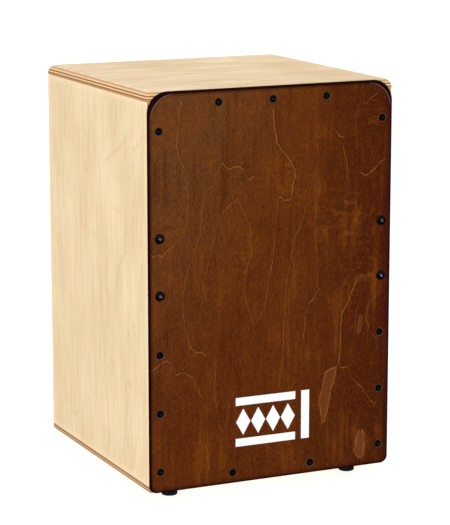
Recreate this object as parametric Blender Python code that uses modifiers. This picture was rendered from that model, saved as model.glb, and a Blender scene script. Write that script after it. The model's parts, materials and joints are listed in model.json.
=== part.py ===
"""Cajon: a plywood box drum with a thin striking plate, fixed snares and a rear sound hole.

Metres, +Z up. The player sits on top, the striking plate faces -Y and +X is on the right of
somebody who looks at the plate. The origin is under the middle of the drum, at the feet's soles.
"""

from math import cos, pi, radians, sin

import bmesh
import bpy
from mathutils import Matrix, Vector

# Driving dimensions
WIDTH = 0.298
BODY_HEIGHT = 0.445
BODY_DEPTH = 0.295
FOOT_HEIGHT = 0.012
GAP = 0.0003                      # left between pieces that touch on the real drum

# Panels
TOP_THICKNESS = 0.011
BOTTOM_THICKNESS = 0.008
SIDE_THICKNESS = 0.009
BACK_THICKNESS = 0.004
TOP_EDGE_RADIUS = 0.009           # on the left and right edges of the top panel
BOTTOM_EDGE_RADIUS = 0.005        # and on those of the bottom panel
LONG_EDGE_STEPS = 6
PANEL_EASE = 0.0005
SOUND_HOLE_RADIUS = 0.0575
SOUND_HOLE_HEIGHT = 0.248         # of its centre, above the underside of the body
SOUND_HOLE_SIDES = 48

# Striking plate
PLATE_THICKNESS = 0.003
PLATE_INSET = 0.0005              # below the seat and above the underside of the body
PLATE_TOP_RADIUS = 0.024
PLATE_BOTTOM_RADIUS = 0.009
PLATE_CORNER_STEPS = 7
PLATE_ROUNDOVER = 0.0022
PLATE_ROUNDOVER_STEPS = 3

# Battens
BATTEN_WIDTH = 0.014
FRONT_BATTEN_DEPTH = 0.018
REAR_BATTEN_DEPTH = 0.014
BATTEN_EASE = 0.001

# Screws of the striking plate
COLUMN_X = 0.136
COLUMN_PITCH = 0.066
LOWEST_COLUMN_SCREW = 0.0245      # above the underside of the body
CORNER_COLUMN_SCREW = 0.402
DOMED_COLUMN_SCREWS = (0.2225, 0.2855)
TOP_ROW_X = 0.0655
TOP_ROW_DROP = 0.015              # below the seat
BOTTOM_ROW_X = 0.0485
BOTTOM_ROW_RISE = 0.013           # above the underside of the body
SMALL_HEAD_RADIUS = 0.004
SMALL_SHANK_RADIUS = 0.0015
SMALL_LENGTH = 0.019
DOMED_HEAD_RADIUS = 0.0055
DOMED_HEAD_HEIGHT = 0.0022
DOMED_SHANK_RADIUS = 0.0018
DOMED_LENGTH = 0.032

# Snare assembly
CROSSBAR_HEIGHT = 0.040
CROSSBAR_THICKNESS = 0.010
END_BLOCK = (0.034, 0.018, 0.086)
CROSSBAR_SCREW_X = 0.1155
CROSSBAR_SCREW_RISE = 0.012
CROSSBAR_SCREW_LENGTH = 0.022
SNARE_X = 0.045
SNARE_RISE = 0.008                # of the clamps, above the crossbar's middle
SNARE_TILT = radians(12)
STRANDS = 10
STRAND_PITCH = 0.004
STRAND_RADIUS = 0.0008
STRAND_LENGTH = 0.135
STRAND_SIDES = 6
END_STRIP = (0.042, 0.001, 0.014)
CLAMP = (0.042, 0.001, 0.010)
CLAMP_GAP = 0.0005
CLAMP_SCREW_X = 0.017
CLAMP_SCREW_LENGTH = 0.012
CLAMP_HEAD_RADIUS = 0.003
CLAMP_HEAD_HEIGHT = 0.0017
CLAMP_SHANK_RADIUS = 0.0014

# Feet
FOOT_X = 0.112
FOOT_INSET = 0.0284               # of the feet's centres, from the front and rear of the body
FOOT_TOP_RADIUS = 0.0095
FOOT_SOLE_RADIUS = 0.009
FOOT_EDGE = 0.0013
FOOT_EDGE_STEPS = 3
FOOT_RECESS_RADIUS = 0.0048
FOOT_RECESS_DEPTH = 0.005
FOOT_BORE_RADIUS = 0.002
FOOT_HEAD_RADIUS = 0.0035
FOOT_HEAD_HEIGHT = 0.002
FOOT_SCREW_LENGTH = 0.014

# Places worked out from the driving dimensions
HEAD_STAND = GAP + DOMED_HEAD_HEIGHT
DEPTH = HEAD_STAND + PLATE_THICKNESS + GAP + BODY_DEPTH
PLATE_FRONT = -DEPTH / 2 + HEAD_STAND
PLATE_BACK = PLATE_FRONT + PLATE_THICKNESS
BODY_FRONT = PLATE_BACK + GAP
BODY_BACK = DEPTH / 2
BODY_MIDDLE = (BODY_FRONT + BODY_BACK) / 2
UNDERSIDE = FOOT_HEIGHT
SEAT = UNDERSIDE + BODY_HEIGHT
ROOM_FLOOR = UNDERSIDE + BOTTOM_THICKNESS + GAP
ROOM_CEILING = SEAT - TOP_THICKNESS - GAP
ROOM_HALF_WIDTH = WIDTH / 2 - SIDE_THICKNESS - GAP
BATTEN_BACK = BODY_FRONT + FRONT_BATTEN_DEPTH
SIDE_BATTEN_X = ROOM_HALF_WIDTH - BATTEN_WIDTH / 2
CROSS_BATTEN_LENGTH = 2 * (ROOM_HALF_WIDTH - BATTEN_WIDTH - GAP)
DOMED_HEIGHTS = [UNDERSIDE + height for height in DOMED_COLUMN_SCREWS]
CROSSBAR_Z = sum(DOMED_HEIGHTS) / 2
CROSSBAR_FRONT = BATTEN_BACK - CROSSBAR_THICKNESS
STRIP_Y = CROSSBAR_FRONT - CLAMP_GAP - END_STRIP[1] / 2
CLAMP_Y = STRIP_Y - END_STRIP[1] / 2 - CLAMP_GAP - CLAMP[1] / 2
SNARE_Z = CROSSBAR_Z + SNARE_RISE
CLAMP_DROP = (END_STRIP[2] - CLAMP[2]) / 2

HEAD_RIM = 0.0004                 # height of a screw head's upright edge
CUTTER_REACH = 0.001              # how far a hole's cutter stands out of the head
DOME_STEPS = 4
SCREW_SIDES = 10
FOOT_SIDES = 20
FACING_FRONT = Matrix.Rotation(pi / 2, 4, "X")      # turns +Z towards -Y
FACING_DOWN = Matrix.Rotation(pi, 4, "X")


def clear_scene():
    for obj in list(bpy.data.objects):
        bpy.data.objects.remove(obj, do_unlink=True)


def new_collection(name):
    collection = bpy.data.collections.new(name)
    bpy.context.scene.collection.children.link(collection)
    return collection


def make_material(name, colour, roughness, metallic=0.0):
    material = bpy.data.materials.new(name)
    material.use_nodes = True
    shader = material.node_tree.nodes["Principled BSDF"]
    shader.inputs["Base Color"].default_value = (*colour, 1.0)
    shader.inputs["Roughness"].default_value = roughness
    shader.inputs["Metallic"].default_value = metallic
    return material


def place(name, mesh, collection, material=None, matrix=None):
    """Puts a mesh into a collection as a named object."""
    obj = bpy.data.objects.new(name, mesh)
    collection.objects.link(obj)
    obj.matrix_world = matrix or Matrix.Identity(4)
    if material and not mesh.materials:
        mesh.materials.append(material)
    return obj


def box(name, low, high, material, ease=BATTEN_EASE):
    """A block between two corners, with its edges eased."""
    centre = (Vector(high) + Vector(low)) / 2
    return block(name, Vector(high) - Vector(low), Matrix.Translation(centre), material, ease)


def block(name, size, matrix, material, ease=0.0):
    """A block of a size, placed by a matrix, with its edges eased."""
    mesh = bpy.data.meshes.new(name)
    shape = bmesh.new()
    bmesh.ops.create_cube(shape, size=1.0, matrix=Matrix.Diagonal((*size, 1.0)))
    shape.to_mesh(mesh)
    shape.free()
    obj = place(name, mesh, PARTS, material, matrix)
    if ease:
        bevel = obj.modifiers.new("eased_edges", "BEVEL")
        bevel.width = ease
        bevel.segments = 1
    return obj


def rounded_outline(width, height, radii, steps):
    """A rectangle about the origin; radii start at the upper right and run anticlockwise."""
    points = []
    for corner, radius in enumerate(radii):
        side_x = 1 if corner in (0, 3) else -1
        side_y = 1 if corner in (0, 1) else -1
        centre = (side_x * (width / 2 - radius), side_y * (height / 2 - radius))
        turns = steps if radius else 0
        for step in range(turns + 1):
            angle = pi / 2 * (corner + (step / turns if turns else 0.5))
            points.append((centre[0] + radius * cos(angle), centre[1] + radius * sin(angle)))
    return points


def outline_mesh(name, points, thickness):
    """A closed plate of a thickness about the XY plane, from a flat outline."""
    curve = bpy.data.curves.new(name, "CURVE")
    curve.dimensions = "2D"
    curve.fill_mode = "BOTH"
    curve.extrude = thickness / 2
    spline = curve.splines.new("POLY")
    spline.points.add(len(points) - 1)
    for point, (x, y) in zip(spline.points, points):
        point.co = (x, y, 0.0, 1.0)
    spline.use_cyclic_u = True
    outline = bpy.data.objects.new(name + "_outline", curve)
    bpy.context.scene.collection.objects.link(outline)
    bpy.context.view_layer.update()
    evaluated = outline.evaluated_get(bpy.context.evaluated_depsgraph_get())
    mesh = bpy.data.meshes.new_from_object(evaluated)
    mesh.name = name
    shape = bmesh.new()
    shape.from_mesh(mesh)
    bmesh.ops.remove_doubles(shape, verts=shape.verts, dist=1e-6)
    bmesh.ops.recalc_face_normals(shape, faces=shape.faces)
    shape.to_mesh(mesh)
    shape.free()
    bpy.data.objects.remove(outline, do_unlink=True)
    return mesh


def turned_mesh(name, profile, closed=False):
    """A profile of (radius, height) points, for a Screw modifier; it runs down its outer side."""
    mesh = bpy.data.meshes.new(name)
    edges = [(n, n + 1) for n in range(len(profile) - 1)]
    if closed:
        edges.append((len(profile) - 1, 0))
    mesh.from_pydata([(radius, 0.0, height) for radius, height in profile], edges, [])
    return mesh


def turn(obj, sides):
    """Spins a profile object about its own Z axis into a solid."""
    spin = obj.modifiers.new("turned", "SCREW")
    spin.steps = sides
    spin.render_steps = sides
    spin.use_merge_vertices = True
    spin.merge_threshold = 0.0001
    spin.use_smooth_shade = True
    return obj


def hidden_tool(name, mesh, matrix):
    """A shape that only cuts or joins another one."""
    tool = place(name, mesh, CUTTERS, None, matrix)
    tool.hide_render = True
    tool.display_type = "WIRE"
    return tool


def combine(target, tool, operation="DIFFERENCE"):
    boolean = target.modifiers.new(tool.name, "BOOLEAN")
    boolean.operation = operation
    boolean.object = tool
    boolean.solver = "EXACT"


# ---------------------------------------------------------------- screws


def countersunk_profile(head, shank, length, grow=0.0):
    """Head flush with height 0; the point is at -length. grow widens it into its own clearance."""
    rim = HEAD_RIM + grow / 2
    point = 2 * shank
    top = CUTTER_REACH if grow else 0.0
    return [
        (0.0, top),
        (head + grow, top),
        (head + grow, -rim),
        (shank + grow, -rim - (head - shank)),
        (shank + grow, -(length - point) - grow),
        (0.0, -length - grow),
    ]


def domed_profile(head, height, shank, length, grow=0.0):
    """The head's underside is at height 0. The clearance is only the shank's."""
    point = 2 * shank
    if grow:
        top = [(0.0, CUTTER_REACH), (shank + grow, CUTTER_REACH)]
    else:
        dome = height - HEAD_RIM
        arc = [pi / 2 * step / DOME_STEPS for step in range(DOME_STEPS + 1)]
        top = [(head * sin(angle), HEAD_RIM + dome * cos(angle)) for angle in arc]
        top += [(head, 0.0), (shank, 0.0)]
    return top + [
        (shank + grow, -(length - point) - grow),
        (0.0, -length - grow),
    ]


class ScrewKind:
    """One kind of screw: its mesh, and the mesh of the hole it needs."""

    def __init__(self, name, profile, material, *sizes):
        self.mesh = turned_mesh(name, profile(*sizes))
        self.mesh.materials.append(material)
        self.hole = turned_mesh(name + "_hole", profile(*sizes, grow=GAP))

    def fit(self, name, matrix, *pieces):
        """Puts one screw in place and cuts its hole in each piece it passes through."""
        turn(place(name, self.mesh, PARTS, None, matrix), SCREW_SIDES)
        tool = turn(hidden_tool(name + "_hole", self.hole, matrix), SCREW_SIDES)
        for piece in pieces:
            combine(piece, tool)


# ---------------------------------------------------------------- body


def make_horizontal_panel(name, low, high, radii):
    """The top or bottom panel: its section is rounded at the two long outer corners."""
    outline = rounded_outline(WIDTH, high - low, radii, LONG_EDGE_STEPS)
    mesh = outline_mesh(name, outline, BODY_DEPTH)
    matrix = Matrix.Translation((0, BODY_MIDDLE, (low + high) / 2)) @ FACING_FRONT
    return place(name, mesh, PARTS, BIRCH, matrix)


def make_body_panels():
    """Makes the five birch panels, and returns the bottom one."""
    upper = (TOP_EDGE_RADIUS, TOP_EDGE_RADIUS, 0, 0)
    make_horizontal_panel("top_panel", SEAT - TOP_THICKNESS, SEAT, upper)
    lower = (0, 0, BOTTOM_EDGE_RADIUS, BOTTOM_EDGE_RADIUS)
    bottom = make_horizontal_panel(
        "bottom_panel", UNDERSIDE, UNDERSIDE + BOTTOM_THICKNESS, lower)
    for name, side in (("left_side_panel", -1), ("right_side_panel", 1)):
        faces = sorted((side * WIDTH / 2, side * (WIDTH / 2 - SIDE_THICKNESS)))
        box(name, (faces[0], BODY_FRONT, ROOM_FLOOR), (faces[1], BODY_BACK, ROOM_CEILING),
            BIRCH, PANEL_EASE)
    back = box("back_panel", (-ROOM_HALF_WIDTH, BODY_BACK - BACK_THICKNESS, ROOM_FLOOR),
               (ROOM_HALF_WIDTH, BODY_BACK, ROOM_CEILING), BIRCH, PANEL_EASE)
    reach = 2 * BACK_THICKNESS
    hole = turned_mesh("sound_hole", [(0.0, reach), (SOUND_HOLE_RADIUS, reach),
                                      (SOUND_HOLE_RADIUS, -reach), (0.0, -reach)])
    centre = Matrix.Translation((0, BODY_BACK, UNDERSIDE + SOUND_HOLE_HEIGHT))
    tool = hidden_tool("sound_hole", hole, centre @ FACING_FRONT)
    combine(back, turn(tool, SOUND_HOLE_SIDES))
    return bottom


def make_frame(prefix, near, far):
    """Four battens between two depths. The top and bottom ones fit between the side ones."""
    battens = {}
    for name, side in (("left", -1), ("right", 1)):
        x = side * SIDE_BATTEN_X
        battens[name] = box(f"{prefix}_batten_{name}",
                            (x - BATTEN_WIDTH / 2, near, ROOM_FLOOR),
                            (x + BATTEN_WIDTH / 2, far, ROOM_CEILING), BATTEN)
    half = CROSS_BATTEN_LENGTH / 2
    for name, low in (("bottom", ROOM_FLOOR), ("top", ROOM_CEILING - BATTEN_WIDTH)):
        battens[name] = box(f"{prefix}_batten_{name}", (-half, near, low),
                            (half, far, low + BATTEN_WIDTH), BATTEN)
    return battens


def make_front_plate():
    """The striking plate. Only the rim of its front face is rounded over."""
    height = BODY_HEIGHT - 2 * PLATE_INSET
    radii = (PLATE_TOP_RADIUS, PLATE_TOP_RADIUS, PLATE_BOTTOM_RADIUS, PLATE_BOTTOM_RADIUS)
    outline = rounded_outline(WIDTH, height, radii, PLATE_CORNER_STEPS)
    mesh = outline_mesh("front_plate", outline, PLATE_THICKNESS)
    shape = bmesh.new()
    shape.from_mesh(mesh)
    weight = shape.edges.layers.float.new("bevel_weight_edge")
    for edge in shape.edges:
        heights = [vert.co.z for vert in edge.verts]
        faces = {round(abs(face.normal.z)) for face in edge.link_faces}
        if min(heights) > 0 and len(faces) == 2:
            edge[weight] = 1.0
    shape.to_mesh(mesh)
    shape.free()
    middle = (PLATE_FRONT + PLATE_BACK) / 2
    matrix = Matrix.Translation((0, middle, UNDERSIDE + BODY_HEIGHT / 2)) @ FACING_FRONT
    plate = place("front_plate", mesh, PARTS, STAINED, matrix)
    bevel = plate.modifiers.new("rounded_rim", "BEVEL")
    bevel.limit_method = "WEIGHT"
    bevel.width = PLATE_ROUNDOVER
    bevel.segments = PLATE_ROUNDOVER_STEPS
    return plate


# ---------------------------------------------------------------- plate screws


def fit_plate_screws(plate, battens, end_blocks):
    small = ScrewKind("small_screw", countersunk_profile, BLACK,
                      SMALL_HEAD_RADIUS, SMALL_SHANK_RADIUS, SMALL_LENGTH)
    domed = ScrewKind("domed_screw", domed_profile, BLACK, DOMED_HEAD_RADIUS,
                      DOMED_HEAD_HEIGHT, DOMED_SHANK_RADIUS, DOMED_LENGTH)

    def fit_small(name, x, z, batten):
        matrix = Matrix.Translation((x, PLATE_FRONT, z)) @ FACING_FRONT
        small.fit(name, matrix, plate, battens[batten])

    top_z = SEAT - TOP_ROW_DROP
    bottom_z = UNDERSIDE + BOTTOM_ROW_RISE
    fit_small("plate_screw_top", 0.0, top_z, "top")
    for name, side in (("left", -1), ("right", 1)):
        fit_small(f"corner_screw_{name}_top", side * TOP_ROW_X, top_z, "top")
        fit_small(f"corner_screw_{name}_side", side * COLUMN_X,
                  UNDERSIDE + CORNER_COLUMN_SCREW, name)
        fit_small(f"plate_screw_bottom_{name}", side * BOTTOM_ROW_X, bottom_z, "bottom")
        for number in range(3):
            z = UNDERSIDE + LOWEST_COLUMN_SCREW + number * COLUMN_PITCH
            fit_small(f"plate_screw_{name}_{number + 1}", side * COLUMN_X, z, name)
        for place_name, z in zip(("lower", "upper"), DOMED_HEIGHTS):
            matrix = Matrix.Translation((side * COLUMN_X, PLATE_FRONT - GAP, z)) @ FACING_FRONT
            domed.fit(f"domed_screw_{name}_{place_name}", matrix,
                      plate, battens[name], end_blocks[name])


# ---------------------------------------------------------------- snares


def make_crossbar():
    """The crossbar stands in front of its two end blocks, which hang on the domed screws."""
    half = CROSS_BATTEN_LENGTH / 2
    crossbar = box("snare_crossbar",
                   (-half, CROSSBAR_FRONT, CROSSBAR_Z - CROSSBAR_HEIGHT / 2),
                   (half, BATTEN_BACK, CROSSBAR_Z + CROSSBAR_HEIGHT / 2), BATTEN)
    kind = ScrewKind("crossbar_screw", countersunk_profile, ZINC,
                     SMALL_HEAD_RADIUS, SMALL_SHANK_RADIUS, CROSSBAR_SCREW_LENGTH)
    end_blocks = {}
    width, depth, height = END_BLOCK
    near = BATTEN_BACK + GAP
    for name, side in (("left", -1), ("right", 1)):
        edges = sorted((side * ROOM_HALF_WIDTH, side * (ROOM_HALF_WIDTH - width)))
        end_blocks[name] = box(f"crossbar_end_block_{name}",
                               (edges[0], near, CROSSBAR_Z - height / 2),
                               (edges[1], near + depth, CROSSBAR_Z + height / 2), BATTEN)
        for place_name, step in (("lower", -1), ("upper", 1)):
            z = CROSSBAR_Z + step * CROSSBAR_SCREW_RISE
            matrix = Matrix.Translation((side * CROSSBAR_SCREW_X, CROSSBAR_FRONT, z))
            kind.fit(f"crossbar_screw_{name}_{place_name}", matrix @ FACING_FRONT,
                     crossbar, end_blocks[name])
    return crossbar, end_blocks


def strands_mesh():
    """The wires of one snare set, about its clamp's centre: they lean forward on to the plate."""
    start = Vector((0, -STRAND_RADIUS / 4, END_STRIP[2] / 3))
    tip_y = PLATE_BACK + GAP + STRAND_RADIUS - STRIP_Y
    tip = Vector((0, tip_y, END_STRIP[2] / 2 + STRAND_LENGTH))
    along = tip - start
    rod = Matrix.Translation((start + tip) / 2) @ along.to_track_quat("Z", "Y").to_matrix().to_4x4()
    mesh = bpy.data.meshes.new("strands")
    shape = bmesh.new()
    for number in range(STRANDS):
        x = (number - (STRANDS - 1) / 2) * STRAND_PITCH
        bmesh.ops.create_cone(shape, cap_ends=True, segments=STRAND_SIDES, radius1=STRAND_RADIUS,
                              radius2=STRAND_RADIUS, depth=along.length,
                              matrix=Matrix.Translation((x, 0, 0)) @ rod)
    shape.to_mesh(mesh)
    shape.free()
    return mesh


def make_snares(crossbar):
    """Each set's end strip lies under a clamp; its wires fan outwards and up."""
    wires = strands_mesh()
    kind = ScrewKind("clamp_screw", domed_profile, ZINC, CLAMP_HEAD_RADIUS,
                     CLAMP_HEAD_HEIGHT, CLAMP_SHANK_RADIUS, CLAMP_SCREW_LENGTH)
    for name, side in (("left", -1), ("right", 1)):
        tilt = Matrix.Rotation(side * SNARE_TILT, 4, "Y")
        pivot = Matrix.Translation((side * SNARE_X, STRIP_Y, SNARE_Z)) @ tilt
        strip = block(f"snare_wires_{name}", END_STRIP, pivot, STEEL)
        combine(strip, hidden_tool(f"strands_{name}", wires, pivot), "UNION")
        clamp_place = pivot @ Matrix.Translation((0, CLAMP_Y - STRIP_Y, -CLAMP_DROP))
        clamp = block(f"snare_clamp_{name}", CLAMP, clamp_place, ZINC)
        for place_name, step in (("outer", side), ("inner", -side)):
            head = Matrix.Translation((step * CLAMP_SCREW_X, -CLAMP[1] / 2 - GAP, 0))
            kind.fit(f"clamp_screw_{name}_{place_name}", clamp_place @ head @ FACING_FRONT,
                     clamp, strip, crossbar)


# ---------------------------------------------------------------- feet


def foot_profile():
    """A ring: outside from the top down, round the sole's edge, then up the recess and the bore."""
    arc = [pi / 2 * step / FOOT_EDGE_STEPS for step in range(FOOT_EDGE_STEPS + 1)]
    flat = FOOT_SOLE_RADIUS - FOOT_EDGE
    edge = [(flat + FOOT_EDGE * cos(angle), FOOT_EDGE * (1 - sin(angle))) for angle in arc]
    top = FOOT_HEIGHT - GAP
    return [(FOOT_TOP_RADIUS, top)] + edge + [
        (FOOT_RECESS_RADIUS, 0.0),
        (FOOT_RECESS_RADIUS, FOOT_RECESS_DEPTH),
        (FOOT_BORE_RADIUS, FOOT_RECESS_DEPTH),
        (FOOT_BORE_RADIUS, top),
    ]


def make_feet(bottom_panel):
    mesh = turned_mesh("foot", foot_profile(), closed=True)
    mesh.materials.append(RUBBER)
    kind = ScrewKind("foot_screw", domed_profile, ZINC, FOOT_HEAD_RADIUS,
                     FOOT_HEAD_HEIGHT, SMALL_SHANK_RADIUS, FOOT_SCREW_LENGTH)
    depths = {"front": BODY_FRONT + FOOT_INSET, "rear": BODY_BACK - FOOT_INSET}
    for end, y in depths.items():
        for name, side in (("left", -1), ("right", 1)):
            x = side * FOOT_X
            turn(place(f"foot_{end}_{name}", mesh, PARTS, None, Matrix.Translation((x, y, 0))),
                 FOOT_SIDES)
            matrix = Matrix.Translation((x, y, FOOT_RECESS_DEPTH - GAP)) @ FACING_DOWN
            kind.fit(f"foot_screw_{end}_{name}", matrix, bottom_panel)


clear_scene()
PARTS = new_collection("cajon")
CUTTERS = new_collection("cutters")
BIRCH = make_material("birch_plywood", (0.80, 0.62, 0.38), 0.45)
STAINED = make_material("brown_stained_plywood", (0.13, 0.045, 0.012), 0.35)
BATTEN = make_material("softwood_batten", (0.72, 0.52, 0.30), 0.6)
BLACK = make_material("black_steel", (0.012, 0.012, 0.013), 0.35, 0.8)
ZINC = make_material("zinc_plated_steel", (0.62, 0.62, 0.60), 0.35, 1.0)
STEEL = make_material("snare_steel", (0.66, 0.66, 0.66), 0.25, 1.0)
RUBBER = make_material("black_rubber", (0.015, 0.015, 0.015), 0.75)

bottom_panel = make_body_panels()
front_battens = make_frame("front", BODY_FRONT, BATTEN_BACK)
rear_face = BODY_BACK - BACK_THICKNESS - GAP
make_frame("rear", rear_face - REAR_BATTEN_DEPTH, rear_face)
front_plate = make_front_plate()
snare_crossbar, crossbar_end_blocks = make_crossbar()
fit_plate_screws(front_plate, front_battens, crossbar_end_blocks)
make_snares(snare_crossbar)
make_feet(bottom_panel)
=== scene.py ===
import json
import math
import random

import bmesh
import bpy
import numpy as np
from mathutils import Matrix, Vector


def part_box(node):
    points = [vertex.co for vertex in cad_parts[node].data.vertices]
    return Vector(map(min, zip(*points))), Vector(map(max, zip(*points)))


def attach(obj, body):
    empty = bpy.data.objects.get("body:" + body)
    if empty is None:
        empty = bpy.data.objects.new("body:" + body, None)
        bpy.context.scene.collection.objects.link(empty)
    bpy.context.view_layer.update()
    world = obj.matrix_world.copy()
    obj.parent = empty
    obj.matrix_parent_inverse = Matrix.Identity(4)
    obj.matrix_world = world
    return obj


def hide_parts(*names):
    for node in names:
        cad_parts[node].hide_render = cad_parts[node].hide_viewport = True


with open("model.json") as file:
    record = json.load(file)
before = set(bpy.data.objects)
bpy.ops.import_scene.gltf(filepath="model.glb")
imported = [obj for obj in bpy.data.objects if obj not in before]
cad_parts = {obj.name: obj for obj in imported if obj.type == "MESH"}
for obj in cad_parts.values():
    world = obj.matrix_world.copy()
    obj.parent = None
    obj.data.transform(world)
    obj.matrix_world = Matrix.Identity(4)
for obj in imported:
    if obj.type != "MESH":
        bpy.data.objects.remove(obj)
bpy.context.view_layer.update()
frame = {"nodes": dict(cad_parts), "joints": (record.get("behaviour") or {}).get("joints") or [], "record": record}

# Places and sizes read from the frame, in metres
PLATE_LOW, PLATE_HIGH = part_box("front_plate")
TOP_LOW, TOP_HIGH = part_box("top_panel")
BOTTOM_LOW, BOTTOM_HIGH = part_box("bottom_panel")
BACK_LOW, BACK_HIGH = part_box("back_panel")
PLATE_FRONT = PLATE_LOW.y
MM = 0.001
TO_FRONT = Matrix.Rotation(math.pi / 2, 4, "X")       # turns +Z towards the front

# Sizes that only the looks need
RIM_WIDTH = 2.7 * MM              # of the plate's rounded rim, along its straight edges
RIM_DEPTH = 2.6 * MM
TOP_CORNER_RADIUS = 24 * MM
BOTTOM_CORNER_RADIUS = 9 * MM
TOP_CORNER_INNER = 27.5 * MM        # the rim is sanded wider round the two upper corners
BOTTOM_CORNER_INNER = 7 * MM
TOP_EDGE_RADIUS = 9 * MM
BOTTOM_EDGE_RADIUS = 5 * MM
ARRIS = 0.45 * MM
SOUND_HOLE_RADIUS = 57.5 * MM
SOUND_HOLE_ROUND = 1.4 * MM
TOP_PLIES = 7
BOTTOM_PLIES = 7
SIDE_PLIES = 7
BACK_PLIES = 3
BEHIND = 0.02 * MM                # how far a print sinks into its surface

# The camera looks down on the drum's left front
CAMERA_AIM = Vector((0.0097, -0.003, 0.2332))
CAMERA_TURN = math.radians(25.1)
CAMERA_DIP = math.radians(11.32)
CAMERA_DISTANCE = 2.601
CAMERA_LENS = 152.85

# Square lights: place, what each is aimed at, side length, watts
MIDDLE = (0, 0, 0.25)
LIGHTS = {
    "key": ((-2.6, -1.7, 1.5), MIDDLE, 1.6, 36),
    "glint": ((-0.3, -2.4, 0.95), MIDDLE, 0.45, 3),
    "front_fill": ((1.4, -2.6, 1.4), MIDDLE, 1.8, 8),
    "back_light": ((0.6, 2.4, 2.2), MIDDLE, 1.8, 8),
    "overhead": ((0.1, 0.9, 2.4), (0.1, 0, 0.45), 1.0, 9),
}
SURROUND_BELOW = 0.04             # how strongly the surround lights things, below and above
SURROUND_ABOVE = 0.72
FLOOR_GLOW = 0.80


# ---------- meshes


def new_object(name, mesh, material=None, matrix=None):
    obj = bpy.data.objects.new(name, mesh)
    bpy.context.scene.collection.objects.link(obj)
    obj.matrix_world = matrix or Matrix.Identity(4)
    if material:
        mesh.materials.append(material)
    return obj


def finish_piece(obj, body, slot, *nodes):
    """Puts a finished piece on its body, in place of the CAD nodes that it stands for."""
    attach(obj, body)
    if nodes:
        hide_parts(*nodes)


def mesh_from(shape, name):
    mesh = bpy.data.meshes.new(name)
    bmesh.ops.recalc_face_normals(shape, faces=shape.faces)
    shape.to_mesh(mesh)
    shape.free()
    return mesh


def smooth(mesh, angle):
    mesh.shade_smooth()
    mesh.set_sharp_from_angle(angle=angle)
    return mesh


def weight_normals(obj):
    """Keeps broad faces flat beside their eased edges."""
    obj.data.shade_smooth()
    normals = obj.modifiers.new("weighted_normals", "WEIGHTED_NORMAL")
    normals.keep_sharp = True


def cut(target, *cutters):
    """Cuts solids out of a piece, applies the result and removes the cutters."""
    for cutter in cutters:
        boolean = target.modifiers.new(cutter.name, "BOOLEAN")
        boolean.object = cutter
        boolean.operation = "DIFFERENCE"
        boolean.solver = "EXACT"
        boolean.material_mode = "TRANSFER"
    bpy.context.view_layer.update()
    evaluated = target.evaluated_get(bpy.context.evaluated_depsgraph_get())
    mesh = bpy.data.meshes.new_from_object(evaluated)
    target.modifiers.clear()
    target.data = mesh
    for cutter in cutters:
        bpy.data.objects.remove(cutter, do_unlink=True)
    return target


def lathe(name, rows, sides=32, thread=None):
    """Turns rows of (radius, height), from the top down, about Z. A row of radius 0 is a pole.

    thread is (top, bottom, pitch, depth): between those heights the wall carries a helical ridge.
    """
    shape = bmesh.new()
    rings = []
    for radius, height in rows:
        if radius == 0:
            rings.append([shape.verts.new((0, 0, height))])
            continue
        ring = []
        for side in range(sides):
            turn = side / sides
            wall = radius
            if thread and thread[1] <= height <= thread[0]:
                phase = (height / thread[2] - turn) % 1.0
                wall += thread[3] * (1 - 2 * abs(phase - 0.5)) - thread[3]
            angle = 2 * math.pi * turn
            ring.append(shape.verts.new((wall * math.cos(angle), wall * math.sin(angle), height)))
        rings.append(ring)
    for upper, lower in zip(rings, rings[1:]):
        for side in range(sides):
            after = (side + 1) % sides
            corners = [upper[side % len(upper)], upper[after % len(upper)],
                       lower[after % len(lower)], lower[side % len(lower)]]
            face = list(dict.fromkeys(corners))
            if len(face) > 2:
                shape.faces.new(face)
    return mesh_from(shape, name)


def eased_box(name, low, high, ease=ARRIS, round_edges=None, radius=0.0):
    """A box whose edges are eased; round_edges picks the edges that get the larger radius first."""
    shape = bmesh.new()
    size = Vector(high) - Vector(low)
    place = Matrix.Translation((Vector(high) + Vector(low)) / 2) @ Matrix.Diagonal((*size, 1))
    bmesh.ops.create_cube(shape, size=1.0, matrix=place)
    if round_edges:
        chosen = [edge for edge in shape.edges if round_edges(edge)]
        bmesh.ops.bevel(shape, geom=chosen, offset=radius, offset_type="OFFSET",
                        segments=10, profile=0.5, affect="EDGES")
    sharp = [edge for edge in shape.edges
             if len(edge.link_faces) == 2 and edge.calc_face_angle() > math.radians(45)]
    bmesh.ops.bevel(shape, geom=sharp, offset=ease, offset_type="OFFSET",
                    segments=2, profile=0.5, affect="EDGES")
    return mesh_from(shape, name)


def skin(shape, outlines):
    """Skins a stack of closed outlines with equal numbers of points, and closes both ends."""
    rings = [[shape.verts.new(point) for point in outline] for outline in outlines]
    for first, second in zip(rings, rings[1:]):
        for n in range(len(first)):
            after = (n + 1) % len(first)
            shape.faces.new((first[n], first[after], second[after], second[n]))
    shape.faces.new(rings[0])
    shape.faces.new(rings[-1])


def rounded_rectangle(half_width, half_height, radii, steps):
    """Points about the origin, anticlockwise from the right; radii start at the upper right."""
    points = []
    for number, (right, up) in enumerate(((1, 1), (-1, 1), (-1, -1), (1, -1))):
        radius = radii[number]
        for step in range(steps + 1):
            angle = math.pi / 2 * (number + step / steps)
            points.append((right * (half_width - radius) + radius * math.cos(angle),
                           up * (half_height - radius) + radius * math.sin(angle)))
    return points


# ---------- materials


def srgb(red, green, blue):
    """A display colour, 0 to 255, as the linear colour that a shader takes."""
    def linear(value):
        value /= 255
        return value / 12.92 if value <= 0.04045 else ((value + 0.055) / 1.055) ** 2.4
    return (linear(red), linear(green), linear(blue), 1.0)


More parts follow.
